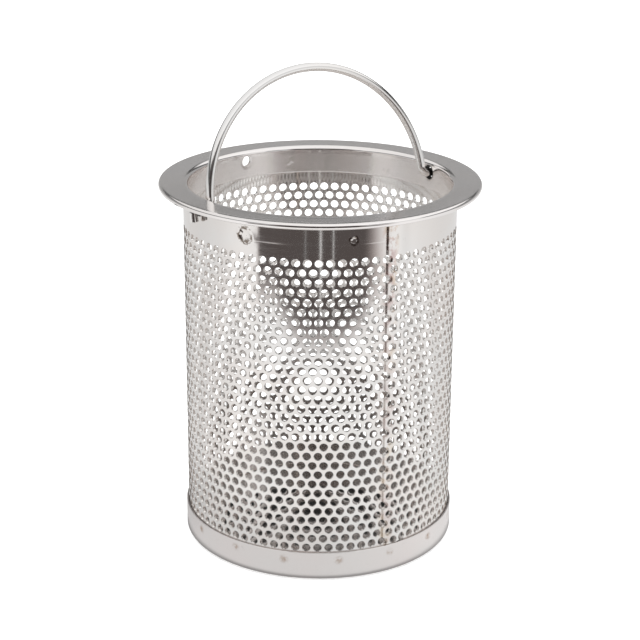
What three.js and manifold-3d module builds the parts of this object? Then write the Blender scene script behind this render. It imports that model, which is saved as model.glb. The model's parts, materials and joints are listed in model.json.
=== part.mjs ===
// Basket strainer: a perforated sheet-metal basket with a wide rim flange, a pressed base cup
// and a folding wire bail. Millimetres, +Z up. The origin is on the basket's axis, in the plane
// that the base stands on. The bail's pivot axis runs along X.

import * as THREE from "three";
import { mergeVertices } from "three/addons/utils/BufferGeometryUtils.js";
import Module from "manifold-3d";

const wasm = await Module();
wasm.setup();

// ---- Driving dimensions -------------------------------------------------------------------

const SEGMENTS = 90; // facets round every concentric piece, so that their flats stay in phase
const STEP = 360 / SEGMENTS; // degrees in one facet

// Rim flange: sheet, hem and neck.
const RIM_TOP = 99.0;
const RIM_SHEET = 0.8;
const RIM_RADIUS = 42.65;
const HEM_WIDTH = 4.3;
const NECK_INNER = 34.75;
const NECK_BOTTOM = 91.4;
const NECK_BEND = 1.2; // bend radius on the visible side

// Shell: rolled perforated sheet, kept plain here.
const SHELL_RADIUS = 36.25; // outside
const SHELL_SHEET = 0.6;
const SHELL_BOTTOM = 1.0;
const SHELL_TOP = 97.95;

// Lap seam: the outer layer steps over the inner one.
const SEAM_EDGE = -94; // degrees, the free edge of the outer layer
const LAP_STEPS = 1; // facets of overlap
const LAP_GAP = 0.05;
const LAP_FOOT = 8.2; // the outer layer stops above the base cup

// Base cup.
const CUP_RADIUS = 36.85;
const CUP_SHEET = 0.5;
const CUP_HEIGHT = 7.8;
const CUP_CORNER = 1.0;

// Bail: round wire through holes in the neck and shell.
const WIRE_RADIUS = 1.15;
const WIRE_SIDES = 12;
const PIVOT_Z = 96.0;
const BAIL_HOLE = 1.7;
const BAIL_HALF_WIDTH = 32.5; // wire centre to basket axis, above the bend
const BAIL_RISE = 32.05; // wire centre above the pivot at the crown
const BAIL_LEAN = 13; // degrees from upright, towards +Y
const INNER_BEND = 2.0;
const HOOK_REACH = 37.9; // wire centre of the hooked end
const HOOK_BEND = 1.35;
const HOOK_TIP_Z = 92.6;

// Spare punched hole.
const SPARE_ANGLE = 94.5;
const SPARE_HOLE = 1.5;
const SPARE_Z = 96.1;

// ---- Helpers ------------------------------------------------------------------------------

const radians = (degrees) => (degrees * Math.PI) / 180;

// A closed three.js geometry as a manifold solid with its faces pointing out.
function solidFrom(geometry) {
  const plain = geometry.clone();
  plain.deleteAttribute("normal");
  plain.deleteAttribute("uv");
  const merged = mergeVertices(plain, 1e-4);
  const position = merged.attributes.position;
  const triangles = [];
  let volume = 0;
  const a = new THREE.Vector3();
  const b = new THREE.Vector3();
  const c = new THREE.Vector3();
  for (let i = 0; i < merged.index.count; i += 3) {
    const [p, q, r] = [0, 1, 2].map((k) => merged.index.getX(i + k));
    if (p === q || q === r || r === p) continue;
    a.fromBufferAttribute(position, p);
    b.fromBufferAttribute(position, q);
    c.fromBufferAttribute(position, r);
    volume += a.dot(b.clone().cross(c));
    triangles.push([p, q, r]);
  }
  if (volume < 0) triangles.forEach((t) => t.reverse());
  return new wasm.Manifold(
    new wasm.Mesh({
      numProp: 3,
      vertProperties: Float32Array.from(position.array),
      triVerts: Uint32Array.from(triangles.flat()),
    }),
  );
}

function geometryFrom(solid) {
  const mesh = solid.getMesh();
  const geometry = new THREE.BufferGeometry();
  const points = new Float32Array(mesh.vertProperties);
  geometry.setAttribute("position", new THREE.BufferAttribute(points, 3));
  geometry.setIndex(new THREE.BufferAttribute(new Uint32Array(mesh.triVerts), 1));
  return geometry;
}

// A closed profile of [radius, height] turned about Z. Facet corners lie on multiples of STEP
// from -Y.
function turned(profile) {
  const points = profile.map(([r, z]) => new THREE.Vector2(r, z));
  const lathe = new THREE.LatheGeometry(points, SEGMENTS);
  lathe.rotateX(Math.PI / 2);
  return solidFrom(lathe);
}

// A plan outline of [radius, degrees] raised from z0 to z1.
function raised(outline, z0, z1) {
  const corners = outline.map(([r, degrees]) => {
    const t = radians(degrees);
    return new THREE.Vector2(r * Math.cos(t), r * Math.sin(t));
  });
  const options = { depth: z1 - z0, bevelEnabled: false };
  const prism = new THREE.ExtrudeGeometry(new THREE.Shape(corners), options);
  prism.translate(0, 0, z0);
  return solidFrom(prism);
}

// Points of a circular arc in a radial section, from one angle to another.
function arc(r, z, radius, from, to, steps) {
  const points = [];
  for (let i = 0; i <= steps; i += 1) {
    const t = radians(from + ((to - from) * i) / steps);
    points.push([r + radius * Math.cos(t), z + radius * Math.sin(t)]);
  }
  return points;
}

// A round punch through both sheets, along the radius at an angle and height.
function punch(degrees, z, radius) {
  const tool = new THREE.CylinderGeometry(radius, radius, 6, 24);
  tool.rotateZ(Math.PI / 2);
  tool.translate(35.8, 0, z);
  tool.rotateZ(radians(degrees));
  return solidFrom(tool);
}

function steel(color, roughness) {
  return new THREE.MeshStandardMaterial({ color, roughness, metalness: 1 });
}

const group = new THREE.Group();

function add(name, geometry, material, parent = group) {
  const mesh = new THREE.Mesh(geometry, material);
  mesh.name = name;
  parent.add(mesh);
  return mesh;
}

// ---- Punched holes shared by the neck and the shell ---------------------------------------

const holes = [
  punch(0, PIVOT_Z, BAIL_HOLE),
  punch(180, PIVOT_Z, BAIL_HOLE),
  punch(SPARE_ANGLE, SPARE_Z, SPARE_HOLE),
];

function punched(solid) {
  return holes.reduce((body, hole) => body.subtract(hole), solid);
}

// ---- Rim flange ---------------------------------------------------------------------------

function rimFlange() {
  const bendR = NECK_INNER + NECK_BEND;
  const bendZ = RIM_TOP - NECK_BEND;
  const hemRadius = RIM_SHEET;
  const hemR = RIM_RADIUS - hemRadius;
  const hemZ = RIM_TOP - hemRadius;
  const hemInner = RIM_RADIUS - HEM_WIDTH;
  const profile = [
    [NECK_INNER, NECK_BOTTOM],
    ...arc(bendR, bendZ, NECK_BEND, 180, 90, 4),
    ...arc(hemR, hemZ, hemRadius, 90, -90, 6),
    [hemInner, RIM_TOP - 2 * RIM_SHEET],
    [hemInner, RIM_TOP - RIM_SHEET],
    ...arc(bendR, bendZ, NECK_BEND - RIM_SHEET, 90, 180, 3),
    [NECK_INNER + RIM_SHEET, NECK_BOTTOM],
    [NECK_INNER, NECK_BOTTOM],
  ];
  return geometryFrom(punched(turned(profile)));
}

// ---- Perforated shell ---------------------------------------------------------------------

// The sheet starts with the outer layer of the lap, steps in beside it, runs round at its
// nominal radius, and ends as the inner layer.
function perforatedShell() {
  const step = SHELL_SHEET + LAP_GAP;
  const track = [
    [SHELL_RADIUS + step, 0],
    [SHELL_RADIUS + step, LAP_STEPS * STEP],
    [SHELL_RADIUS + step, LAP_STEPS * STEP + 0.8],
    [SHELL_RADIUS, (LAP_STEPS + 1) * STEP],
  ];
  for (let i = LAP_STEPS + 2; i <= SEGMENTS + LAP_STEPS; i += 1) {
    track.push([SHELL_RADIUS, i * STEP]);
  }
  const outside = track.map(([r, t]) => [r, SEAM_EDGE + t]);
  const inside = outside.map(([r, t]) => [r - SHELL_SHEET, t]).reverse();
  const sheet = raised([...outside, ...inside], SHELL_BOTTOM, SHELL_TOP);

  // The foot of the outer layer is cut away so that the base cup's wall can pass.
  const cutR = SHELL_RADIUS + LAP_GAP / 2;
  const cut = [];
  for (let i = -1; i <= LAP_STEPS + 2; i += 1) cut.push([cutR, SEAM_EDGE + i * STEP]);
  for (let i = LAP_STEPS + 2; i >= -1; i -= 1) cut.push([cutR + 2, SEAM_EDGE + i * STEP]);
  const foot = raised(cut, 0, LAP_FOOT);
  return geometryFrom(punched(sheet.subtract(foot)));
}

// ---- Base cup -----------------------------------------------------------------------------

function baseCup() {
  const wall = CUP_RADIUS - CUP_SHEET;
  const cornerR = CUP_RADIUS - CUP_CORNER;
  const profile = [
    [0, 0],
    ...arc(cornerR, CUP_CORNER, CUP_CORNER, -90, 0, 4),
    [CUP_RADIUS, CUP_HEIGHT],
    [wall, CUP_HEIGHT],
    ...arc(cornerR, CUP_CORNER, CUP_CORNER - CUP_SHEET, 0, -90, 3),
    [0, CUP_SHEET],
  ];
  return geometryFrom(turned(profile));
}

// ---- Bail ---------------------------------------------------------------------------------

// A path through given stations, so that tight bends get their own steps.
class WirePath extends THREE.Curve {
  constructor(stations) {
    super();
    this.stations = stations;
  }

  getPointAt(u) {
    const last = this.stations.length - 1;
    return this.stations[Math.round(u * last)].clone();
  }

  getTangentAt(u) {
    const last = this.stations.length - 1;
    const i = Math.round(u * last);
    const before = this.stations[Math.max(i - 1, 0)];
    const after = this.stations[Math.min(i + 1, last)];
    return after.clone().sub(before).normalize();
  }
}

// The wire's centre line in the plane of the bail, from one hook tip to the other. The pivot
// is at height 0.
function bailStations() {
  const tip = HOOK_TIP_Z - PIVOT_Z;
  const hookX = HOOK_REACH - HOOK_BEND;
  const innerX = BAIL_HALF_WIDTH + INNER_BEND;
  const half = [
    [HOOK_REACH, tip],
    ...arc(hookX, -HOOK_BEND, HOOK_BEND, 0, 90, 5),
    ...arc(innerX, INNER_BEND, INNER_BEND, 270, 180, 5),
  ];
  const across = BAIL_HALF_WIDTH / Math.sqrt(1 - (INNER_BEND / BAIL_RISE) ** 2);
  const start = (Math.asin(INNER_BEND / BAIL_RISE) * 180) / Math.PI;
  const crown = [];
  const steps = 40;
  for (let i = 1; i < steps; i += 1) {
    const t = radians(start + ((180 - 2 * start) * i) / steps);
    crown.push([across * Math.cos(t), BAIL_RISE * Math.sin(t)]);
  }
  const otherHalf = half.map(([x, z]) => [-x, z]).reverse();
  return [...half, ...crown, ...otherHalf].map(([x, z]) => new THREE.Vector3(x, 0, z));
}

function bailHandle() {
  const stations = bailStations();
  const corners = [];
  for (let i = 0; i < WIRE_SIDES; i += 1) {
    const t = (2 * Math.PI * (i + 0.5)) / WIRE_SIDES;
    corners.push(new THREE.Vector2(WIRE_RADIUS * Math.cos(t), WIRE_RADIUS * Math.sin(t)));
  }
  const wire = new THREE.ExtrudeGeometry(new THREE.Shape(corners), {
    steps: stations.length - 1,
    bevelEnabled: false,
    extrudePath: new WirePath(stations),
  });
  return geometryFrom(solidFrom(wire));
}

// ---- Assembly -----------------------------------------------------------------------------

add("rim_flange", rimFlange(), steel(0xc9c8c6, 0.2));
add("perforated_shell", perforatedShell(), steel(0xcfcdca, 0.28));
add("base_cup", baseCup(), steel(0xc6c3c0, 0.3));

const pivot = new THREE.Group();
pivot.position.set(0, 0, PIVOT_Z);
pivot.rotation.x = radians(-BAIL_LEAN);
group.add(pivot);
add("bail_handle", bailHandle(), steel(0xd0cecc, 0.18), pivot);

group.updateMatrixWorld(true);

export default group;
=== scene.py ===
"""Looks for a perforated steel basket strainer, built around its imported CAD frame.

Shapes are worked out in millimetres in the row frame and written to Blender in metres.
Angles are in degrees about the basket's axis, from +X towards +Y.
"""

import json
import math

import bmesh
import bpy
import numpy as np
from mathutils import Matrix, Vector


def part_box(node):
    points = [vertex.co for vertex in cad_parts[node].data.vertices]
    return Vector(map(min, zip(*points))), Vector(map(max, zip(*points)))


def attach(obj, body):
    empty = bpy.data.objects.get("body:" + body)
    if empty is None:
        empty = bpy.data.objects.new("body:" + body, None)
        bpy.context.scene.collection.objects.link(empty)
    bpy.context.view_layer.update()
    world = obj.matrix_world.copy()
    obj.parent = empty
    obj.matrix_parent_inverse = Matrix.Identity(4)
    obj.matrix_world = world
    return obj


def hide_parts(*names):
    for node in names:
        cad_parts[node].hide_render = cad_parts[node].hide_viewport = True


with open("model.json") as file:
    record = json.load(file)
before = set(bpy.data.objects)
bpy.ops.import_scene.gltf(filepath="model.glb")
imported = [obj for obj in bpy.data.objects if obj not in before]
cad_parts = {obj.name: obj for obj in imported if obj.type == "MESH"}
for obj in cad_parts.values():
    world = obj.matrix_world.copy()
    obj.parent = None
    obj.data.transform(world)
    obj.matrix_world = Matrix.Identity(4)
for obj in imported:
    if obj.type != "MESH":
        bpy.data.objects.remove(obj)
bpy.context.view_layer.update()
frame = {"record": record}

MM = 0.001


def edges_of(node):
    """A CAD node's lowest and highest corners in millimetres."""
    low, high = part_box(node)
    return np.array(low) / MM, np.array(high) / MM


# ---- Dimensions, from the CAD nodes where they give them --------------------------------

rim_low, rim_high = edges_of("rim_flange")
shell_low, shell_high = edges_of("perforated_shell")
cup_low, cup_high = edges_of("base_cup")

RIM_TOP = rim_high[2]
RIM_RADIUS = min(rim_high[0], -rim_low[0])
NECK_BOTTOM = rim_low[2]
RIM_SHEET = 0.8
HEM_WIDTH = 4.3
NECK_INNER = 34.75
NECK_BEND = 1.2

SHELL_RADIUS = shell_high[1]
SHELL_BOTTOM, SHELL_TOP = shell_low[2], shell_high[2]
SHELL_SHEET = 0.6

CUP_RADIUS = min(cup_high[0], -cup_low[0])
CUP_TOP = cup_high[2]
CUP_SHEET = 0.5
CUP_CORNER = 1.0

# Lap seam: the outer layer starts at its free edge, steps in, and the inner layer ends under it.
SEAM_EDGE = -94.0
FLAP_END = -89.2
RAMP_END = -82.5
INNER_END = 270.0
LAP_STEP = 0.65
LAP_FOOT = 8.2

# Perforation: holes at 3 mm centres, 60 degree stagger.
ROWS = 31
FIRST_ROW = 9.1
ROW_STEP = 2.597
HOLE_RADIUS = 1.14
HOLE_SIDES = 12
FIRST_HOLE, LAST_HOLE = -36, 48
# Where the punched pattern falls round the sheet: hole number and angle. Rolling and lapping
# leave it a little uneven.
PATTERN = ((-38, -121.3), (-31, -89.0), (-26.5, -68.2), (-7.3, 21.9), (0, 56.7),
           (7.7, 93.4), (28.2, 188.6), (39, 238.2), (50, 289.0))

# The collar is drawn over the flange's neck, which leaves a fine step along the neck's edge.
STEP_LOW, STEP_HIGH, STEP_DEPTH = 91.4, 92.1, 0.012

# Spot welds: the collar's eight and one beside the seam, as angle, height, radius and depth.
COLLAR_WELDS = [(26.5, 93.0, 1.4, 0.10), (72.2, 92.9, 1.2, 0.08), (116.5, 93.1, 1.5, 0.14),
                (161.5, 92.8, 1.3, 0.10), (207.4, 92.8, 2.0, 0.30), (251.9, 92.7, 1.1, 0.10),
                (296.5, 93.0, 1.3, 0.09), (341.5, 93.0, 1.5, 0.13), (-90.8, 92.8, 1.1, 0.09)]
BURNT_WELDS = COLLAR_WELDS[4:6]
CUP_WELDS = [-158 + 22.5 * i for i in range(16)]
CUP_WELD_Z = 5.7
CUP_WELD_RADIUS, CUP_WELD_DEPTH = 1.1, 0.07

# Bail: a wire bent to an arch, whose ends hook outwards and down through the holes.
hinge = frame["record"]["behaviour"]["joints"][0]
PIVOT_Z = hinge["pos_m"][2] / MM
BAIL_HOLE = 1.7
WIRE_RADIUS = 1.148
BAIL_LEAN = 13.0
BAIL_HALF_WIDTH = 32.5
BAIL_RISE = 32.05
INNER_BEND = 2.0
HOOK_REACH = 37.9
HOOK_BEND = 1.35
HOOK_TIP_Z = 92.6
WIRE_SIDES = 28
WIRE_CHAMFER = 0.22

# Punched holes in the neck and collar, the bail's two and a spare, as angle, height and radius.
PUNCHED = ((0.0, PIVOT_Z, BAIL_HOLE), (180.0, PIVOT_Z, BAIL_HOLE), (94.5, 96.1, 1.5))

TURNED_SEGMENTS = 720
SHARP_EDGE = 32.0


# ---- Mesh helpers ------------------------------------------------------------------------

def smoothstep(low, high, x):
    """0 below low, 1 above high and a smooth rise between them."""
    t = np.clip((x - low) / (high - low), 0, 1)
    return t * t * (3 - 2 * t)


def turn_gap(a, b):
    """Angle a less angle b, between -180 and 180."""
    return (a - b + 180) % 360 - 180


def new_piece(name, points, faces, body, node, material):
    """Points in millimetres and faces as one object that rides on a body."""
    mesh = bpy.data.meshes.new(name)
    mesh.from_pydata([tuple(p) for p in np.asarray(points, float) * MM], [], faces)
    mesh.validate()
    bm = bmesh.new()
    bm.from_mesh(mesh)
    bmesh.ops.recalc_face_normals(bm, faces=bm.faces)
    limit = math.radians(SHARP_EDGE)
    for face in bm.faces:
        face.smooth = True
    for edge in bm.edges:
        if len(edge.link_faces) == 2:
            edge.smooth = edge.calc_face_angle(0) < limit
    bm.to_mesh(mesh)
    bm.free()
    piece = bpy.data.objects.new(name, mesh)
    bpy.context.scene.collection.objects.link(piece)
    mesh.materials.append(material)
    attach(piece, body)
    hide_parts(node)
    return piece


def lathe(profile, shape, closed=True):
    """A profile of (radius, height) turned about Z. shape moves the points by radius, height
    and angle."""
    segments = TURNED_SEGMENTS
    profile = np.asarray(profile, float)
    rows = len(profile)
    turn = np.radians(np.arange(segments) * 360 / segments)
    r = np.repeat(profile[None, :, 0], segments, 0)
    z = np.repeat(profile[None, :, 1], segments, 0)
    a = np.repeat(turn[:, None], rows, 1)
    r, z = shape(r, z, np.degrees(a))
    points = np.stack([r * np.cos(a), r * np.sin(a), z], -1).reshape(-1, 3)
    faces = []
    for i in range(segments):
        k = (i + 1) % segments
        for j in range(rows if closed else rows - 1):
            m = (j + 1) % rows
            faces.append((i * rows + j, k * rows + j, k * rows + m, i * rows + m))
    return points, faces


def arc(r, z, radius, start, end, steps):
    """Points of a profile's arc about (r, z), from one angle to another."""
    t = np.radians(np.linspace(start, end, steps + 1))
    return [(r + radius * math.cos(x), z + radius * math.sin(x)) for x in t]


def dent(distance, radius, depth, ridge):
    """A spot weld's dimple: a crater with a raised middle and lip. Negative is inwards."""
    bowl = -depth * (1 - smoothstep(0.25 * radius, radius, distance))
    nugget = 0.45 * depth * (1 - smoothstep(0, 0.45 * radius, distance))
    lip = ridge * np.exp(-((distance - 1.12 * radius) / (0.22 * radius)) ** 2)
    return bowl + nugget + lip


def welds_at(angle, z, welds, at_radius):
    """Radial offset left by spot welds, each a little different."""
    out = np.zeros_like(z, dtype=float)
    for i, (weld_angle, weld_z, radius, depth) in enumerate(welds):
        across = np.radians(turn_gap(angle, weld_angle)) * at_radius
        up = z - weld_z
        round_by = np.arctan2(up, across)
        uneven = 1 + 0.16 * np.sin(3 * round_by + 2.1 * i) + 0.1 * np.sin(5 * round_by + i)
        out += dent(np.hypot(across, up) / uneven, radius, depth, 0.15 * depth)
    return out


def near_holes(angle, z, at_radius, spread):
    """1 at the punched holes' edges, falling to 0 at spread from them."""
    out = np.zeros_like(z, dtype=float)
    for hole_angle, hole_z, radius in PUNCHED:
        gap = np.hypot(np.radians(turn_gap(angle, hole_angle)) * at_radius, z - hole_z)
        out += 1 - smoothstep(radius, radius + spread, gap)
    return out


# ---- Perforated shell --------------------------------------------------------------------

def lapped_radius(u):
    """The rolled sheet's radius: u runs from the flap's free edge to the inner end."""
    return SHELL_RADIUS + LAP_STEP * (1 - smoothstep(FLAP_END, RAMP_END, u))


def shell_radius(u, z):
    """The outside, with the collar's step, the welds and the punches' funnels."""
    groove = np.exp(-((z - STEP_LOW - 0.05) / 0.3) ** 2)
    r = lapped_radius(u) + STEP_DEPTH * (smoothstep(STEP_LOW, STEP_HIGH, z) - groove)
    r = r + welds_at(u, z, COLLAR_WELDS, SHELL_RADIUS)
    return r - 0.10 * near_holes(u, z, SHELL_RADIUS, 1.1)


class Plane:
    """Points and faces of the unrolled sheet, with shared points."""

    KEYS_PER_UNIT = 2000

    def __init__(self):
        self.points, self.faces, self.at = [], [], {}

    def point(self, u, z):
        """The number of the point at angle u and height z, made if it is new."""
        key = (round(u * self.KEYS_PER_UNIT), round(z * self.KEYS_PER_UNIT))
        if key not in self.at:
            self.at[key] = len(self.points)
            self.points.append((u, z))
        return self.at[key]

    def face(self, corners):
        self.faces.append(tuple(self.point(*c) for c in corners))

    def ring(self, outer, inner):
        """Faces between two closed rows of points."""
        n = len(outer)
        for i in range(n):
            k = (i + 1) % n
            self.faces.append((outer[i], outer[k], inner[k], inner[i]))


def column_angle(n):
    """The angle of hole number n, which may be a fraction."""
    return float(np.interp(n, [p[0] for p in PATTERN], [p[1] for p in PATTERN]))


def unrolled_sheet():
    """The flat sheet before trimming: hexagonal cells round each hole, and plain margins."""
    sheet = Plane()
    corner = ROW_STEP / 1.5
    # A cell's outline from its centre, in hole spacings across and corner heights up.
    rim = [(0.5, 0.0), (0.5, 0.5), (0.25, 0.75), (0.0, 1.0), (-0.25, 0.75), (-0.5, 0.5),
           (-0.5, 0.0), (-0.5, -0.5), (-0.25, -0.75), (0.0, -1.0), (0.25, -0.75), (0.5, -0.5)]
    degree = math.radians(1) * SHELL_RADIUS
    for row in range(ROWS):
        z = FIRST_ROW + row * ROW_STEP
        shift = 0.5 * (row % 2)
        for n in range(FIRST_HOLE, LAST_HOLE):
            centre = n + shift
            u = column_angle(centre)
            outer = [sheet.point(column_angle(centre + a), z + b * corner) for a, b in rim]
            inner = []
            for i in range(HOLE_SIDES):
                t = 2 * math.pi * i / HOLE_SIDES
                inner.append(sheet.point(u + HOLE_RADIUS * math.cos(t) / degree,
                                         z + HOLE_RADIUS * math.sin(t)))
            sheet.ring(outer, inner)
    # Plain margins stand on the zigzag that the first and last rows leave.
    columns = [n + i / 4 for n in range(FIRST_HOLE + 1, LAST_HOLE - 1) for i in range(4)]

    def zigzag(column, row, side):
        """The height of a row's edge at a column, above it for side 1 and below it for -1."""
        shift = 0.5 * (row % 2)
        aside = abs(((column - shift + 0.5) % 1) - 0.5)
        return FIRST_ROW + row * ROW_STEP + side * corner * (1 - aside)

    foot = [(column_angle(c), zigzag(c, 0, -1)) for c in columns]
    head = [(column_angle(c), zigzag(c, ROWS - 1, 1)) for c in columns]
    # The collar's heights are closest at the step along the neck's edge.
    levels = [89.6, 90.8, 91.3, 91.5, 91.7, 91.9, 92.3, 93.1, 94.0, 95.0, 96.0, 97.0, SHELL_TOP]
    grid = [head] + [[(u, z) for u, _ in head] for z in levels]
    blocks = blocks_for(grid)
    for j in range(len(grid) - 1):
        for i in range(len(columns) - 1):
            if any(b[0] <= i < b[1] and b[2] <= j < b[3] for b in blocks):
                continue
            sheet.face([grid[j][i], grid[j][i + 1], grid[j + 1][i + 1], grid[j + 1][i]])
    for block in blocks:
        fill_block(sheet, grid, block, degree)
    for (u0, z0), (u1, z1) in zip(foot, foot[1:]):
        sheet.face([(u0, SHELL_BOTTOM), (u1, SHELL_BOTTOM), (u1, z1), (u0, z0)])
    return sheet


def blocks_for(grid):
    """Rectangles of the collar's grid that hold a punched hole or a weld: the first and last
    column and level, and the centre, radius and kind of what they hold."""
    us = [u for u, _ in grid[0]]
    zs = [row[0][1] for row in grid]
    found = []
    wanted = [(a, z, r, True) for a, z, r in PUNCHED]
    wanted += [(a, z, r, False) for a, z, r, _ in COLLAR_WELDS]
    for angle, z, radius, hole in wanted:
        for turn in (-360, 0, 360):
            u = angle + turn
            if not SEAM_EDGE - 2 < u < INNER_END + 2:  # off the sheet
                continue
            reach = radius + (0.25 if hole else 0.75)
            across = math.degrees(reach / SHELL_RADIUS)
            i0 = max(i for i, x in enumerate(us) if x < u - across)
            i1 = min(i for i, x in enumerate(us) if x > u + across)
            j0 = max(j for j, x in enumerate(zs) if j and x < z - reach)
            j1 = min([j for j, x in enumerate(zs) if x > z + reach] + [len(zs) - 1])
            found.append((i0, i1, j0, j1, u, z, radius, hole))
    return found


def fill_block(sheet, grid, block, degree):
    """Fills a block with rings: down to a hole's edge, or to a weld's centre."""
    i0, i1, j0, j1, u, z, radius, hole = block
    edge = [grid[j0][i] for i in range(i0, i1)] + [grid[j][i1] for j in range(j0, j1)]
    edge += [grid[j1][i] for i in range(i1, i0, -1)] + [grid[j][i0] for j in range(j1, j0, -1)]
    turns = [math.atan2(b - z, (a - u) * degree) for a, b in edge]
    rings = [radius] if hole else [radius * k for k in (1.25, 1.05, 0.85, 0.65, 0.45, 0.25)]
    before = [sheet.point(*p) for p in edge]
    for ring in rings:
        now = [sheet.point(u + ring * math.cos(t) / degree, z + ring * math.sin(t))
               for t in turns]
        sheet.ring(before, now)
        before = now
    if not hole:
        centre = sheet.point(u, z)
        for i, a in enumerate(before):
            sheet.faces.append((a, before[(i + 1) % len(before)], centre))


def trimmed(sheet):
    """Cuts the flat sheet to its real outline: its two ends and the flap's foot."""
    bm = bmesh.new()
    points = [bm.verts.new((u, 0.0, z)) for u, z in sheet.points]
    for face in sheet.faces:
        if len(set(face)) == len(face):
            bm.faces.new([points[i] for i in face])

    def cut(co, normal, clear, faces):
        """Splits faces along a plane, and may clear what lies beyond it."""
        corners = dict.fromkeys(v for f in faces for v in f.verts)
        edges = dict.fromkeys(e for f in faces for e in f.edges)
        bmesh.ops.bisect_plane(bm, geom=[*corners, *edges, *faces], plane_co=co,
                               plane_no=normal, dist=1e-5, clear_outer=clear)

    cut((SEAM_EDGE, 0, 0), (-1, 0, 0), True, bm.faces[:])
    cut((INNER_END, 0, 0), (1, 0, 0), True, bm.faces[:])

    def corner_faces(end, top):
        """The faces of the flap's lower corner, up to an angle and a height."""
        middles = ((f, f.calc_center_median()) for f in bm.faces)
        return [f for f, middle in middles if middle.x < end and middle.z < top]

    # The flap and its ramp are cut back at the foot, to clear the cup.
    foot_end = RAMP_END - 0.4
    for co, normal in (((0, 0, LAP_FOOT), (0, 0, 1)), ((foot_end, 0, 0), (1, 0, 0))):
        cut(co, normal, False, corner_faces(RAMP_END + 8, LAP_FOOT + 4))
    bmesh.ops.delete(bm, geom=corner_faces(foot_end, LAP_FOOT), context="FACES")
    bmesh.ops.remove_doubles(bm, verts=bm.verts[:], dist=0.012)
    bm.verts.index_update()
    flat = np.array([(v.co.x, v.co.z) for v in bm.verts])
    faces = [[v.index for v in f.verts] for f in bm.faces]
    open_edges = []
    for edge in bm.edges:
        if len(edge.link_faces) == 1:
            loop = edge.link_loops[0]
            open_edges.append((loop.vert.index, loop.link_loop_next.vert.index))
    bm.free()
    return flat, faces, open_edges


def perforated_shell(material):
    """The sheet rolled up, with an outside, an inside and the cut edges between them."""
    flat, faces, open_edges = trimmed(unrolled_sheet())
    u, z = flat[:, 0], flat[:, 1]
    # The seam weld mashes the flap's free edge down.
    outer = shell_radius(u, z) - 0.02 * (1 - smoothstep(SEAM_EDGE, SEAM_EDGE + 0.5, u))
    inner = lapped_radius(u) - SHELL_SHEET
    c, s = np.cos(np.radians(u)), np.sin(np.radians(u))
    points = np.concatenate([np.stack([outer * c, outer * s, z], -1),
                             np.stack([inner * c, inner * s, z], -1)])
    n = len(flat)
    both = [tuple(f) for f in faces] + [tuple(i + n for i in reversed(f)) for f in faces]
    both += [(b, a, a + n, b + n) for a, b in open_edges]
    return new_piece("perforated_shell_sheet", points, both, "basket", "perforated_shell",
                     material)


# ---- Rim flange --------------------------------------------------------------------------

def rim_flange(material):
    """The neck, its bend, the flat top and the folded hem, with the punched holes cut out."""
    bend_r, bend_z = NECK_INNER + NECK_BEND, RIM_TOP - NECK_BEND
    hem_r, hem_z = RIM_RADIUS - RIM_SHEET, RIM_TOP - RIM_SHEET
    hem_inner, hem_bottom = RIM_RADIUS - HEM_WIDTH, RIM_TOP - 2 * RIM_SHEET
    neck_outer = NECK_INNER + RIM_SHEET
    lip = 0.18
    inside = [(NECK_INNER, z) for z in np.arange(NECK_BOTTOM + lip, bend_z, 0.3)]
    outside = [(neck_outer, z) for z in np.arange(bend_z - 0.3, NECK_BOTTOM + lip, -0.6)]
    top = [(r, RIM_TOP) for r in np.linspace(bend_r, hem_r, 8)][1:-1]
    profile = (
        inside
        + arc(bend_r, bend_z, NECK_BEND, 180, 90, 12)
        + top
        + arc(hem_r, hem_z, RIM_SHEET, 90, -90, 20)
        + [(hem_inner + 0.1, hem_bottom), (hem_inner, hem_bottom + 0.1), (hem_inner, hem_z)]
        + arc(bend_r, bend_z, NECK_BEND - RIM_SHEET, 90, 180, 6)
        + outside
        + arc(neck_outer - lip, NECK_BOTTOM + lip, lip, 0, -90, 3)
        + arc(NECK_INNER + lip, NECK_BOTTOM + lip, lip, -90, -180, 3)[:-1]
    )

    def shape(r, z, angle):
        neck = (np.abs(r - NECK_INNER) < 0.01) & (z < bend_z)
        # The electrodes' marks on the inside of the neck, and the funnels of the punches.
        inner_marks = [(a, h + 0.7, 1.2, 0.7 * d) for a, h, _, d in COLLAR_WELDS]
        funnels = 0.12 * near_holes(angle, z, NECK_INNER, 1.0)
        marks = funnels - welds_at(angle, z, inner_marks, NECK_INNER)
        r = r + np.where(neck, marks, 0)
        # Pressing leaves the flat very slightly uneven.
        flat = np.clip((r - bend_r) / 1.0, 0, 1) * np.clip((hem_r - r) / 0.8, 0, 1)
        flat = flat * (z > RIM_TOP - 0.01)
        a = np.radians(angle)
        z = z - flat * 0.012 * (1 + 0.6 * np.sin(5 * a + 1) + 0.4 * np.sin(11 * a))
        return r, z

    points, faces = lathe(profile, shape)
    piece = new_piece("rim_flange_pressing", points, faces, "basket", "rim_flange",
                      material)
    for at, hole_z, hole_radius in PUNCHED:
        cut_hole(piece, at, hole_z, hole_radius)
    return piece


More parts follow.
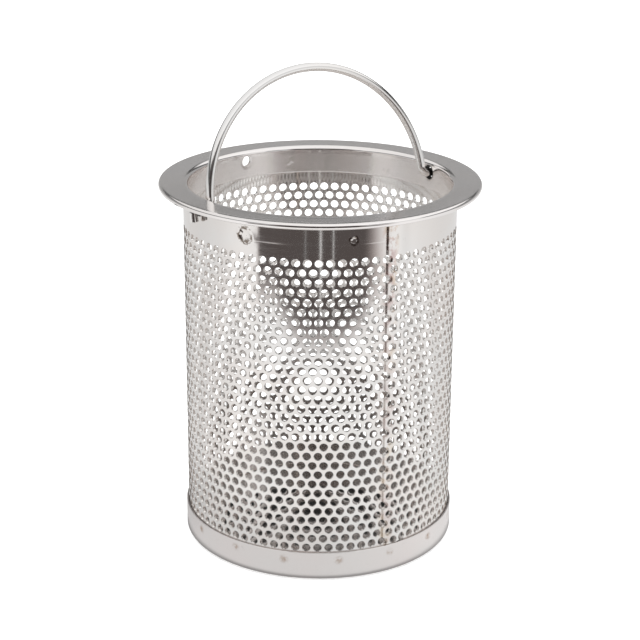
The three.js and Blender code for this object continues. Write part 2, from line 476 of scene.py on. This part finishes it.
def cut_hole(piece, angle, z, radius):
    """Cuts one punched hole through a wall along the radius."""
    bm = bmesh.new()
    bmesh.ops.create_cone(bm, cap_ends=True, segments=48, radius1=radius * MM,
                          radius2=radius * MM, depth=6 * MM)
    bm.transform(Matrix.Rotation(math.radians(90), 4, "Y"))
    bm.transform(Matrix.Translation((35.0 * MM, 0, z * MM)))
    bm.transform(Matrix.Rotation(math.radians(angle), 4, "Z"))
    tool_mesh = bpy.data.meshes.new("punch")
    bm.to_mesh(tool_mesh)
    bm.free()
    tool = bpy.data.objects.new("punch", tool_mesh)
    bpy.context.scene.collection.objects.link(tool)
    modifier = piece.modifiers.new("punch", "BOOLEAN")
    modifier.operation = "DIFFERENCE"
    modifier.solver = "EXACT"
    modifier.object = tool
    bpy.context.view_layer.update()
    evaluated = piece.evaluated_get(bpy.context.evaluated_depsgraph_get())
    result = bpy.data.meshes.new_from_object(evaluated)
    piece.modifiers.clear()
    piece.data = result
    bpy.data.objects.remove(tool)


# ---- Base cup ----------------------------------------------------------------------------

def base_cup(material):
    """The bottom plate, the rounded corner and the wall, turned, with the middle filled in."""
    wall = CUP_RADIUS - CUP_SHEET
    corner_r = CUP_RADIUS - CUP_CORNER
    lip = 0.16
    middle = 0.4
    floor_out = [(r, 0.0) for r in np.linspace(middle, corner_r, 26)[:-1]]
    floor_in = [(r, CUP_SHEET) for r in np.linspace(corner_r, middle, 40)[1:]]
    rise = [(CUP_RADIUS, z) for z in np.arange(CUP_CORNER, CUP_TOP - lip, 0.35)][1:]
    fall = [(wall, z) for z in np.linspace(CUP_TOP - lip, CUP_CORNER, 6)][1:-1]
    profile = (
        floor_out
        + arc(corner_r, CUP_CORNER, CUP_CORNER, -90, 0, 12)
        + rise
        + arc(CUP_RADIUS - lip, CUP_TOP - lip, lip, 0, 90, 4)
        + arc(wall + lip, CUP_TOP - lip, lip, 90, 180, 3)
        + fall
        + arc(corner_r, CUP_CORNER, CUP_CORNER - CUP_SHEET, 0, -90, 6)
        + floor_in
    )
    welds = [(a, CUP_WELD_Z, CUP_WELD_RADIUS, CUP_WELD_DEPTH) for a in CUP_WELDS]
    plate_rise = 0.05

    def shape(r, z, angle):
        band = (np.abs(r - CUP_RADIUS) < 0.01) & (z > CUP_CORNER)
        a = np.radians(angle)
        # The band is very slightly out of round.
        wave = -0.01 * (1 + np.sin(7 * a + 0.5)) * smoothstep(1.5, 5, z)
        marks = np.minimum(welds_at(angle, z, welds, CUP_RADIUS), 0)
        r = r + np.where(band, marks + wave, 0)
        # The base plate is drawn in very slightly, so that the cup stands on its edge.
        dish = plate_rise * (1 - smoothstep(26, 34, r)) * (z < CUP_SHEET + 0.01)
        return r, z + dish

    points, faces = lathe(profile, shape, closed=False)
    rows = len(profile)
    points = np.vstack([points, [(0, 0, plate_rise), (0, 0, CUP_SHEET + plate_rise)]])
    bottom, top = len(points) - 2, len(points) - 1
    for i in range(TURNED_SEGMENTS):
        k = (i + 1) % TURNED_SEGMENTS
        faces.append((bottom, k * rows, i * rows))
        faces.append((top, i * rows + rows - 1, k * rows + rows - 1))
    return new_piece("base_cup_pressing", points, faces, "basket", "base_cup",
                     material)


# ---- Bail --------------------------------------------------------------------------------

def bail_line():
    """The wire's centre line in the bail's own plane: (across, height above the pivot)."""
    tip = HOOK_TIP_Z - PIVOT_Z
    hook_x = HOOK_REACH - HOOK_BEND
    inner_x = BAIL_HALF_WIDTH + INNER_BEND
    half = [(HOOK_REACH, h) for h in np.linspace(tip, -HOOK_BEND, 5)[:-1]]
    half += arc(hook_x, -HOOK_BEND, HOOK_BEND, 0, 90, 14)
    half += arc(inner_x, INNER_BEND, INNER_BEND, 270, 180, 18)
    # The arch is half an ellipse, which starts at the inner bends' tops.
    start = math.asin(INNER_BEND / BAIL_RISE)
    across = BAIL_HALF_WIDTH / math.cos(start)
    t = np.linspace(start, math.pi - start, 201)[1:-1]
    crown = [(across * math.cos(x), BAIL_RISE * math.sin(x)) for x in t]
    return half + crown + [(-x, h) for x, h in reversed(half)]


def bail_handle(material):
    """The round wire along its centre line, leaned back about the pivot."""
    line = np.array(bail_line())
    keep = np.r_[True, np.hypot(*np.diff(line, axis=0).T) > 0.02]
    line = line[keep]
    along = np.gradient(line, axis=0)
    along /= np.linalg.norm(along, axis=1)[:, None]
    # The cut ends are broken by a small chamfer.
    line = np.vstack([line[0], line[0] + along[0] * WIRE_CHAMFER, line[1:-1],
                      line[-1] - along[-1] * WIRE_CHAMFER, line[-1]])
    along = np.vstack([along[0], along[0], along[1:-1], along[-1], along[-1]])
    radius = np.full(len(line), WIRE_RADIUS)
    radius[0] = radius[-1] = WIRE_RADIUS - WIRE_CHAMFER
    sides = WIRE_SIDES
    lean = math.radians(BAIL_LEAN)
    points = []
    for (x, h), (dx, dh), r in zip(line, along, radius):
        for i in range(sides):
            t = 2 * math.pi * i / sides
            side, deep = r * math.cos(t), r * math.sin(t)
            height = h - side * dx
            points.append((x + side * dh, deep * math.cos(lean) + height * math.sin(lean),
                           PIVOT_Z + height * math.cos(lean) - deep * math.sin(lean)))
    n = len(line)
    faces = []
    for j in range(n - 1):
        for i in range(sides):
            k = (i + 1) % sides
            faces.append((j * sides + i, j * sides + k, (j + 1) * sides + k,
                          (j + 1) * sides + i))
    faces.append(tuple(range(sides - 1, -1, -1)))
    faces.append(tuple(range((n - 1) * sides, n * sides)))
    return new_piece("bail_wire", points, faces, "bail", "bail_handle", material)


# ---- Materials ---------------------------------------------------------------------------

class Nodes:
    """Short names for making a material's nodes."""

    def __init__(self, name):
        self.material = bpy.data.materials.new(name)
        self.material.use_nodes = True
        self.tree = self.material.node_tree
        self.tree.nodes.clear()
        self.shader = self.tree.nodes.new("ShaderNodeBsdfPrincipled")
        out = self.tree.nodes.new("ShaderNodeOutputMaterial")
        self.link(self.shader.outputs["BSDF"], out.inputs["Surface"])
        place = self.tree.nodes.new("ShaderNodeTexCoord")
        self.place = place.outputs["Object"]
        split = self.tree.nodes.new("ShaderNodeSeparateXYZ")
        self.link(self.place, split.inputs[0])
        self.x, self.y, self.z = split.outputs

    def link(self, a, b):
        self.tree.links.new(a, b)

    def put(self, value, socket):
        """Sets a socket to a number, or links another node's output to it."""
        if isinstance(value, bpy.types.NodeSocket):
            self.link(value, socket)
        else:
            socket.default_value = value

    def math(self, kind, *values):
        node = self.tree.nodes.new("ShaderNodeMath")
        node.operation = kind
        for i, value in enumerate(values):
            self.put(value, node.inputs[i])
        return node.outputs[0]

    def noise(self, stretch, detail=2.0, rough=0.5):
        """Noise with its own scale along each axis, in cycles per metre."""
        scale = self.tree.nodes.new("ShaderNodeVectorMath")
        scale.operation = "MULTIPLY"
        self.link(self.place, scale.inputs[0])
        scale.inputs[1].default_value = stretch
        node = self.tree.nodes.new("ShaderNodeTexNoise")
        self.link(scale.outputs[0], node.inputs["Vector"])
        node.inputs["Scale"].default_value = 1.0
        node.inputs["Detail"].default_value = detail
        node.inputs["Roughness"].default_value = rough
        return node.outputs["Fac"]

    def ramp(self, value, low, high, to_low=0.0, to_high=1.0):
        """A smooth rise or fall of the value between two levels."""
        node = self.tree.nodes.new("ShaderNodeMapRange")
        node.interpolation_type = "SMOOTHSTEP"
        self.put(value, node.inputs["Value"])
        for name, number in (("From Min", low), ("From Max", high), ("To Min", to_low),
                             ("To Max", to_high)):
            node.inputs[name].default_value = number
        return node.outputs["Result"]

    def mix(self, factor, a, b):
        node = self.tree.nodes.new("ShaderNodeMix")
        node.data_type = "RGBA"
        self.put(factor, node.inputs[0])
        for value, socket in ((a, node.inputs[6]), (b, node.inputs[7])):
            self.put(value if isinstance(value, bpy.types.NodeSocket) else (*value, 1.0), socket)
        return node.outputs[2]

    def bump(self, height, distance, strength=1.0, normal=None):
        node = self.tree.nodes.new("ShaderNodeBump")
        node.inputs["Distance"].default_value = distance
        node.inputs["Strength"].default_value = strength
        self.link(height, node.inputs["Height"])
        if normal:
            self.link(normal, node.inputs["Normal"])
        return node.outputs["Normal"]

    def distance(self, a, b):
        """The length of two distances at right angles."""
        squares = [self.math("MULTIPLY", side, side) for side in (a, b)]
        return self.math("SQRT", self.math("ADD", *squares))

    def angle(self):
        """The angle about the basket's axis, in degrees."""
        return self.math("MULTIPLY", self.math("ARCTAN2", self.y, self.x), 180 / math.pi)

    def near_angle(self, centre, inside, outside):
        """1 within a band of angles, falling to 0 outside it."""
        off = self.math("SUBTRACT", self.angle(), centre)
        off = self.math("PINGPONG", off, 180.0)
        return self.ramp(off, inside, outside, 1.0, 0.0)


def steel(name, tone, warm, rough, grain, wave, finish, grime, cut=0.000004):
    """Stainless steel: colour drift between two tones, a range of roughness, and grain along
    each axis in cycles per metre. wave and cut are how deep its waves and scratches are, in
    metres, and finish adds what only one piece has."""
    n = Nodes(name)
    drift = n.noise((55, 55, 70), 3)
    cloud = n.noise((18, 18, 22), 2)
    colour = n.mix(n.ramp(drift, 0.35, 0.65), tone, warm)
    fine = n.noise(grain, 3, 0.6)
    coarse = n.noise(tuple(g * 0.22 for g in grain), 2)
    low, high = rough
    level = n.math("ADD", n.math("MULTIPLY", fine, 0.55), n.math("MULTIPLY", cloud, 0.45))
    roughness = n.ramp(level, 0.33, 0.67, low, high)
    if finish:
        colour, roughness = finish(n, colour, roughness)
    spots = n.ramp(n.noise((420, 420, 420), 4, 0.7), 0.62, 0.78)
    colour = n.mix(n.math("MULTIPLY", spots, grime), colour, (0.30, 0.25, 0.21))
    n.link(colour, n.shader.inputs["Base Color"])
    n.link(roughness, n.shader.inputs["Roughness"])
    n.shader.inputs["Metallic"].default_value = 1.0
    lines = n.math("ADD", n.math("MULTIPLY", fine, 0.6), n.math("MULTIPLY", coarse, 0.4))
    normal = n.bump(lines, cut)
    if wave:
        normal = n.bump(n.noise((60, 60, 45), 1), wave, 1.0, normal)
    n.link(normal, n.shader.inputs["Normal"])
    return n.material


def painted_shade_in_holes(n, colour, roughness):
    """Painted shade: the walls inside the two bail holes are darkened almost to black, as if in
    shadow, and made rougher.
    """
    up = n.math("SUBTRACT", n.z, PIVOT_Z * MM)
    gap = n.distance(n.y, up)
    inside = n.ramp(gap, (BAIL_HOLE + 0.2) * MM, (BAIL_HOLE + 0.5) * MM, 1.0, 0.0)
    # Painted shade: the hole walls are darkened nearly to black.
    colour = n.mix(n.math("MULTIPLY", inside, 0.96), colour, (0.02, 0.017, 0.015))
    return colour, n.math("ADD", roughness, n.math("MULTIPLY", inside, 0.4))


def burnt_weld(n, colour, weld):
    """A ragged brown ring round one of the collar's spot welds."""
    angle, height, radius, _ = weld
    off = n.math("PINGPONG", n.math("SUBTRACT", n.angle(), angle), 180.0)
    across = n.math("MULTIPLY", off, math.radians(1) * SHELL_RADIUS * MM)
    up = n.math("SUBTRACT", n.z, height * MM)
    gap = n.distance(across, up)
    gap = n.math("ADD", gap, n.math("MULTIPLY", n.noise((650, 650, 650), 3, 0.65), radius * MM))
    ring = n.math("MULTIPLY", n.ramp(gap, 1.15 * radius * MM, 1.35 * radius * MM),
                  n.ramp(gap, 1.55 * radius * MM, 1.8 * radius * MM, 1.0, 0.0))
    patchy = n.ramp(n.noise((480, 480, 700), 3, 0.7), 0.44, 0.54, 0.0, 0.85)
    return n.mix(n.math("MULTIPLY", ring, patchy), colour, (0.13, 0.09, 0.06))


def shell_finish(n, colour, roughness):
    """Straw and violet heat colours along the seam, its burnt edge, two burnt welds, and painted
    shade inside the bail holes.
    """
    band = n.near_angle(SEAM_EDGE + 1.2, 1.0, 4.4)
    patchy = n.ramp(n.noise((520, 520, 420), 3, 0.7), 0.42, 0.60, 0.0, 1.0)
    amount = n.math("MULTIPLY", band, patchy)
    straw = n.mix(n.ramp(n.noise((170, 170, 90), 2), 0.4, 0.6), (0.72, 0.52, 0.27),
                  (0.60, 0.42, 0.40))
    stronger = n.ramp(n.z, 60 * MM, 90 * MM, 0.3, 0.6)
    colour = n.mix(n.math("MULTIPLY", amount, stronger), colour, straw)
    roughness = n.math("ADD", roughness, n.math("MULTIPLY", amount, 0.25))
    edge = n.near_angle(SEAM_EDGE, 0.04, 0.24)
    burnt = n.ramp(n.noise((900, 900, 420), 3, 0.7), 0.36, 0.60, 0.0, 1.0)
    burnt = n.math("MULTIPLY", burnt, n.ramp(n.z, 84 * MM, 88 * MM, 0.12, 0.65))
    colour = n.mix(n.math("MULTIPLY", edge, burnt), colour, (0.16, 0.10, 0.065))
    for weld in BURNT_WELDS:
        colour = burnt_weld(n, colour, weld)
    return painted_shade_in_holes(n, colour, roughness)


def flange_finish(n, colour, roughness):
    """The flat is brushed, the neck is duller, the bend between them is bright, and the bail
    holes get painted shade.
    """
    flat = n.ramp(n.z, (RIM_TOP - 0.5) * MM, (RIM_TOP - 0.1) * MM)
    neck = n.ramp(n.z, (RIM_TOP - 2.6) * MM, (RIM_TOP - 1.4) * MM, 1.0, 0.0)
    dull = n.math("ADD", n.math("MULTIPLY", flat, 0.06), n.math("MULTIPLY", neck, 0.13))
    return painted_shade_in_holes(n, colour, n.math("ADD", roughness, dull))


def cup_finish(n, colour, roughness):
    """Small brown smudges at the cup's spot welds, and a smoother plate."""
    step = 360 / len(CUP_WELDS)
    off = n.math("SUBTRACT", n.angle(), CUP_WELDS[0] - 360)
    off = n.math("PINGPONG", off, step / 2)
    across = n.math("MULTIPLY", off, math.radians(1) * CUP_RADIUS * MM)
    up = n.math("SUBTRACT", n.z, CUP_WELD_Z * MM)
    gap = n.distance(across, up)
    gap = n.math("ADD", gap, n.math("MULTIPLY", n.noise((700, 700, 700), 2), 0.0014))
    smudge = n.ramp(gap, 0.0009, 0.0024, 0.8, 0.0)
    patchy = n.ramp(n.noise((350, 350, 350), 3, 0.7), 0.42, 0.6, 0.1, 1.0)
    colour = n.mix(n.math("MULTIPLY", smudge, patchy), colour, (0.36, 0.25, 0.17))
    # The plate keeps its mill polish: only the band is brushed.
    plate = n.ramp(n.z, 0.6 * MM, 1.2 * MM, 1.0, 0.0)
    kept = n.math("SUBTRACT", 1.0, n.math("MULTIPLY", plate, 0.75))
    return colour, n.math("MULTIPLY", roughness, kept)


shell_steel = steel("shell_steel", (0.80, 0.785, 0.77), (0.80, 0.765, 0.74), (0.05, 0.12),
                    (160, 160, 2600), 0.00003, shell_finish, 0.15, 0.000001)
flange_steel = steel("flange_steel", (0.87, 0.84, 0.83), (0.87, 0.835, 0.815), (0.06, 0.12),
                     (900, 900, 900), 0.00001, flange_finish, 0.12, 0.000001)
cup_steel = steel("cup_steel", (0.78, 0.75, 0.735), (0.79, 0.745, 0.73), (0.16, 0.26),
                  (200, 200, 3000), 0.00003, cup_finish, 0.2, 0.0000015)
wire_steel = steel("wire_steel", (0.82, 0.81, 0.80), (0.82, 0.80, 0.78), (0.08, 0.16),
                   (1200, 1200, 500), 0.0, None, 0.1)

# ---- Pieces ------------------------------------------------------------------------------

perforated_shell(shell_steel)
rim_flange(flange_steel)
base_cup(cup_steel)
bail_handle(wire_steel)

# ---- Studio ------------------------------------------------------------------------------

CAMERA_TURN = -31.5
TOWARDS_CAMERA = 270 + CAMERA_TURN  # as an angle about the basket's axis


def stage_material(name):
    """An empty material that lights nothing by itself."""
    material = bpy.data.materials.new(name)
    material.use_nodes = True
    material.node_tree.nodes.clear()
    material.cycles.emission_sampling = "NONE"
    return material


def show(material, shader):
    out = material.node_tree.nodes.new("ShaderNodeOutputMaterial")
    material.node_tree.links.new(shader.outputs[0], out.inputs["Surface"])


def floor_paper():
    """Matt pale paper, with a glow that keeps it white in the picture."""
    material = stage_material("floor_paper")
    shader = material.node_tree.nodes.new("ShaderNodeBsdfPrincipled")
    shader.inputs["Base Color"].default_value = (0.86, 0.86, 0.86, 1.0)
    shader.inputs["Roughness"].default_value = 1.0
    shader.inputs["Specular IOR Level"].default_value = 0.0
    shader.inputs["Emission Color"].default_value = (1, 1, 1, 1)
    shader.inputs["Emission Strength"].default_value = 0.36
    show(material, shader)
    return material


def glowing(name, strength, attribute=None):
    """An even white glow, or the mesh's own colours where an attribute is named."""
    material = stage_material(name)
    shader = material.node_tree.nodes.new("ShaderNodeEmission")
    shader.inputs["Strength"].default_value = strength
    shader.inputs["Color"].default_value = (1, 1, 1, 1)
    if attribute:
        reader = material.node_tree.nodes.new("ShaderNodeAttribute")
        reader.attribute_name = attribute
        material.node_tree.links.new(reader.outputs["Color"], shader.inputs["Color"])
    show(material, shader)
    return material


def stage_piece(name, points, faces, material, reflected_only=False):
    """Part of the studio: its points are in metres."""
    mesh = bpy.data.meshes.new(name)
    mesh.from_pydata(points, [], faces)
    mesh.materials.append(material)
    piece = bpy.data.objects.new(name, mesh)
    bpy.context.scene.collection.objects.link(piece)
    if reflected_only:
        piece.visible_camera = False
        piece.visible_diffuse = False
        piece.visible_shadow = False
        piece.visible_transmission = False
    return piece


ROOM = 1.05  # the surround's radius in metres
FLOOR_LIMIT = 0.001
CUP_SHADE = (0.0372, 0.0388)  # where the table comes out from under the cup
WALL_TOP, CEILING_START = 0.58, 0.68

# Angles from the camera's direction, and the table's brightness there.
TABLE_GLOW = ((-180, 0.78), (-110, 0.80), (-86, 0.87), (-66, 1.0), (-50, 1.0),
              (40, 0.98), (66, 1.0), (86, 0.93), (110, 0.86), (180, 0.78))
FOOT_GLOW = ((-110, 0.72), (-40, 0.78), (0, 0.80), (60, 0.92), (110, 0.95))
# Heights in metres up the wall behind the basket, and its brightness there.
BACK_GLOW = ((0.30, 0.36), (0.36, 0.42), (0.40, 0.46))
BACK_EDGE = (0.438, 0.445)

# Angles where the surround's brightness turns, besides every fifth degree.
BREAKS = {-112, -108, -104, -51, -50, -49, -48, -47, -34, -32, -28, -26, 24, 28, 32, 38, 41, 44,
          47, 49, 53, 73, 77, 104, 108, 112}


def between(x, rise, fall):
    """1 between a rise and a fall, each given by its start and end."""
    return smoothstep(*rise, x) * (1 - smoothstep(*fall, x))


def table_glow(turn, r):
    """The table: its brightness, and how much of it is the dark far side in front."""
    # White, dimmer beyond the lamps at the back and close to the foot of the basket.
    table = np.interp(turn, *zip(*TABLE_GLOW))
    foot = np.interp(turn, *zip(*FOOT_GLOW)) * (0.45 + 0.55 * smoothstep(*CUP_SHADE, r))
    table = table * (foot + (1 - foot) * smoothstep(0.050, 0.085, r))
    # Its near edge curves away to both sides.
    edge = min(0.197 + 0.046 * (abs(turn - 3) / 38) ** 3, 0.245)
    dark = between(turn, (-50.5, -48.0), (34.0, 56.0)) * smoothstep(edge, edge + 0.035, r)
    return table * (1 - dark) + 0.10 * dark, dark


def wall_glow(turn, r, z):
    """The room: its brightness, and how much of it is the dark door behind the camera."""
    door = between(turn, (-34, -26), (24, 32))
    panel = between(turn, (48, 54), (72, 78))
    low = 1 - smoothstep(0.32, 0.37, z)
    wall = 0.06 * door + (1 - door) * (0.12 + 0.70 * low) + 0.70 * panel * (1 - low)
    behind = smoothstep(100, 112, np.abs(turn))
    high = smoothstep(*BACK_EDGE, z)
    back = np.interp(z, *zip(*BACK_GLOW)) * (1 - high) + 0.02 * high
    wall = wall * (1 - behind) + back * behind
    ceiling = 1.0 + 0.12 * math.cos(math.radians(turn - 60)) * min(r, 1.0)
    above = smoothstep(WALL_TOP + 0.09 * door, CEILING_START + 0.12 * door, z)
    return wall + (ceiling - wall) * above, door * (1 - smoothstep(0.67, 0.80, z))


def glow_at(turn, r, z):
    """The colour of the room in the steel. Only its dark parts are warm."""
    shade, warmth = table_glow(turn, r) if z < FLOOR_LIMIT else wall_glow(turn, r, z)
    return [float(shade * (1 - k * warmth)) for k in (0.0, 0.14, 0.17)] + [1.0]


def surround():
    """The room that only reflections see: a table round the basket's foot, a wall, a ceiling."""
    rings = [(0.034, 0.00002), (0.0372, 0.00005)]
    rings += [(r, 0.0005) for r in (0.0376, 0.038, 0.0385, 0.0392, 0.045, 0.05, 0.055, 0.062,
                                    0.07, 0.078, 0.085, 0.12, 0.17, 0.185, 0.2, 0.215, 0.23,
                                    0.245, 0.26, 0.275, 0.29, 0.32, 0.5, ROOM - 0.002)]
    rings += [(ROOM, z) for z in (0.0005, 0.2, 0.30, 0.32, 0.345, 0.36, 0.37, 0.40, 0.438, 0.441,
                                  0.445, 0.5, 0.58, 0.61, 0.645, 0.68, 0.73, 0.8, 0.9)]
    rings += [(0.9, 1.0), (0.6, 1.1), (0.3, 1.15), (0.001, 1.15)]
    turns = sorted(set(range(-180, 181, 5)) | BREAKS)
    points, glow, faces = [], [], []
    for turn in turns:
        t = math.radians(TOWARDS_CAMERA + turn)
        for r, z in rings:
            points.append((r * math.cos(t), r * math.sin(t), z))
            glow += glow_at(turn, r, z)
    n = len(rings)
    for i in range(len(turns) - 1):
        for j in range(n - 1):
            faces.append((i * n + j, i * n + n + j, i * n + n + j + 1, i * n + j + 1))
    piece = stage_piece("surround", points, faces, glowing("surround", 1.0, "glow"), True)
    layer = piece.data.color_attributes.new("glow", "FLOAT_COLOR", "POINT")
    layer.data.foreach_set("color", glow)


def floor_strip(name, start, end, strength):
    """A narrow bright strip just over the table's dark far side, seen only in reflections."""
    near, far, height = 0.24, 0.40, 0.0012
    corners = []
    for turn in (start, (start + end) / 2, end):
        t = math.radians(TOWARDS_CAMERA + turn)
        corners += [(r * math.cos(t), r * math.sin(t), height) for r in (near, far)]
    stage_piece(name, corners, [(0, 1, 3, 2), (2, 3, 5, 4)], glowing(name, strength), True)


def studio():
    """The floor, what the steel reflects, and even light from all round."""
    half, z = 12.0, -0.0002
    corners = [(-half, -half, z), (half, -half, z), (half, half, z), (-half, half, z)]
    stage_piece("floor", corners, [(0, 1, 2, 3)], floor_paper())
    surround()
    floor_strip("strip_a", -0.1, 1.3, 0.8)
    floor_strip("strip_b", 9.9, 10.9, 0.6)
    floor_strip("strip_c", -11.5, -10.7, 0.35)

    world = bpy.data.worlds.new("studio")
    bpy.context.scene.world = world
    world.use_nodes = True
    background = world.node_tree.nodes["Background"]
    background.inputs["Color"].default_value = (1.0, 1.0, 1.0, 1.0)
    background.inputs["Strength"].default_value = 1.5


def camera():
    """A long lens that looks slightly down, turned about the basket's axis."""
    data = bpy.data.cameras.new("camera")
    data.sensor_width = 36.0
    data.lens = 98.83
    data.clip_start, data.clip_end = 0.01, 50
    piece = bpy.data.objects.new("camera", data)
    bpy.context.scene.collection.objects.link(piece)
    bpy.context.scene.camera = piece
    turn, rise, roll = math.radians(CAMERA_TURN), math.radians(19.77), math.radians(0.344)
    right = Vector((math.cos(turn), math.sin(turn), 0))
    back = Vector((math.sin(turn) * math.cos(rise), -math.cos(turn) * math.cos(rise),
                   math.sin(rise)))
    up = back.cross(right)
    look_at, aside, distance = Vector((0, 0, 0.059332)), 0.000134, 0.4763
    place = look_at + right * aside + back * distance
    across = right * math.cos(roll) + up * math.sin(roll)
    above = up * math.cos(roll) - right * math.sin(roll)
    piece.matrix_world = Matrix((
        (across.x, above.x, back.x, place.x),
        (across.y, above.y, back.y, place.y),
        (across.z, above.z, back.z, place.z),
        (0, 0, 0, 1)))


studio()
camera()
scene = bpy.context.scene
scene.view_settings.view_transform = "Standard"
scene.cycles.max_bounces = 14
scene.cycles.glossy_bounces = 10
